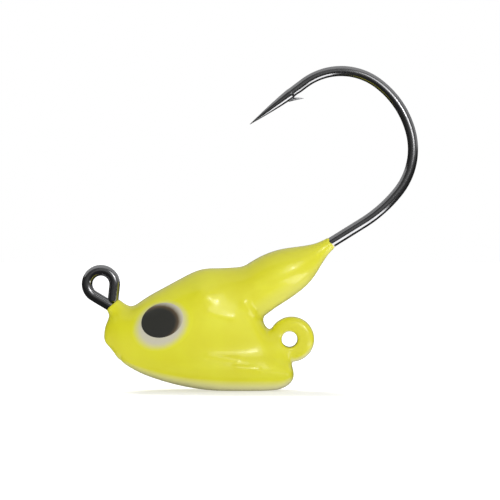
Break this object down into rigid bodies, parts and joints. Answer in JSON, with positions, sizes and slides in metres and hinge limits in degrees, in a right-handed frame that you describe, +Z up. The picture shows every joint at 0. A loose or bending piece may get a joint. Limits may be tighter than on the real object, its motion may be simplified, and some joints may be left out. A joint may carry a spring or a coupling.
{
  "type": "jig head",
  "caption": "Painted stand-up jig head: a barbed steel hook cast into a fish-head weight with a flat sole, a leaf collar and a rear lug.",
  "frame": {"origin": "middle of the flat sole that the head stands on, on the plane of symmetry", "axes": "+X from the nose and line-tie ring towards the hook's bend, +Z up, +Y to the left for someone looking along +X, which is the side that the node names call left"},
  "size_m": [0.0336, 0.0078, 0.0325],
  "materials": {
    "hook_steel": "polished",
    "lead": "matte",
    "white_undercoat": "satin",
    "chartreuse_paint": "gloss",
    "eye_white_paint": "gloss",
    "eye_black_paint": "gloss"
  },
  "bodies": {
    "root": {"hook": "hook_steel", "head_casting": "lead", "base_coat": "white_undercoat", "top_coat": "chartreuse_paint", "eye_white_left": "eye_white_paint", "eye_pupil_left": "eye_black_paint", "eye_white_right": "eye_white_paint", "eye_pupil_right": "eye_black_paint"}
  },
  "joints": []
}
